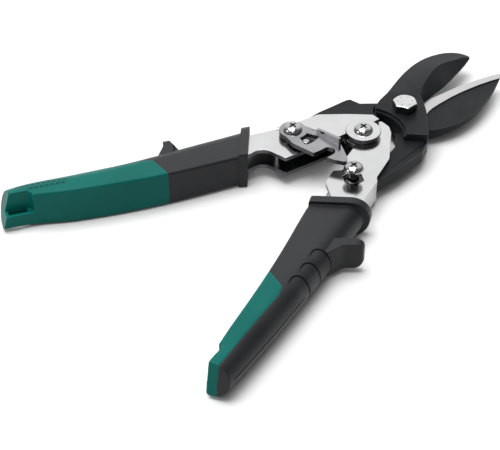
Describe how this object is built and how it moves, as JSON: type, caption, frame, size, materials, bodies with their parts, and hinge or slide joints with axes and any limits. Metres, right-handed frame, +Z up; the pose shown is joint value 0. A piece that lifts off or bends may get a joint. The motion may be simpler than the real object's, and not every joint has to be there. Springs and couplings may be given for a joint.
{
  "type": "aviation snips",
  "caption": "Compound-leverage aviation snips: forged blades, plated steel channel handles with sleeved two-tone grips, an opening spring and a swinging latch, stored open.",
  "frame": {"origin": "on the resting plane, on the axis of the blade bolt", "axes": "+X forward along the tool to the jaws, +Y to the left handle, +Z up along the pivots"},
  "size_m": [0.2391, 0.1504, 0.0223],
  "materials": {
    "blade_black": "black oxide forged steel, brushed",
    "zinc": "zinc plated",
    "nickel": "polished nickel plate",
    "spring_steel": "drawn spring wire",
    "grip_black": "fine matte moulding texture",
    "grip_green": "satin moulding"
  },
  "bodies": {
    "left_handle": {"left_handle_frame": "nickel", "handle_pivot_washer_top": "nickel", "handle_pivot_washer_bottom": "nickel", "handle_pivot_screw": "nickel", "handle_pivot_sleeve": "nickel", "left_link_screw": "nickel", "left_link_sleeve": "nickel", "latch_collar": "nickel", "latch_stop_stud": "nickel", "handle_opening_spring": "spring_steel", "latch_spring": "spring_steel", "left_grip_body": "grip_black", "left_grip_inlay": "grip_green"},
    "right_handle": {"right_handle_frame": "nickel", "latch_stud": "nickel", "right_link_sleeve": "nickel", "right_grip_body": "grip_black", "right_grip_inlay": "grip_green"},
    "lower_blade": {"lower_blade": "blade_black", "blade_bolt": "zinc", "blade_nut_washer": "zinc", "blade_lock_nut": "zinc"},
    "upper_blade": {"upper_blade": "blade_black"},
    "latch": {"latch_lever": "nickel"}
  },
  "joints": [
    {"name": "handle_pivot", "type": "hinge", "parent": "left_handle", "child": "right_handle", "pos_m": [-0.0268, 0, 0.0094], "axis": [0, 0, -1], "range_deg": [0, 33.42], "stiffness_Nm_per_rad": 0.35, "springref_deg": -34.38, "deforming": ["handle_opening_spring"]},
    {"name": "lower_link", "type": "hinge", "parent": "left_handle", "child": "lower_blade", "pos_m": [-0.05232, 0.0193, 0.0094], "axis": [0, 0, -1], "range_deg": [0, 8]},
    {"name": "blade_pivot", "type": "hinge", "parent": "lower_blade", "child": "upper_blade", "pos_m": [0, 0, 0.0094], "axis": [0, 0, -1], "range_deg": [0, 17.44]},
    {"name": "latch_swing", "type": "hinge", "parent": "left_handle", "child": "latch", "pos_m": [-0.05232, 0.0193, 0.0094], "axis": [0, 0, -1], "range_deg": [0, 18.7], "stiffness_Nm_per_rad": 0.01, "springref_deg": -17.19, "deforming": ["latch_spring"]}
  ],
  "couplings": [
    {"joint": "lower_link", "follows": "handle_pivot", "ratio": 0.23914},
    {"joint": "blade_pivot", "follows": "handle_pivot", "ratio": 0.52172}
  ]
}
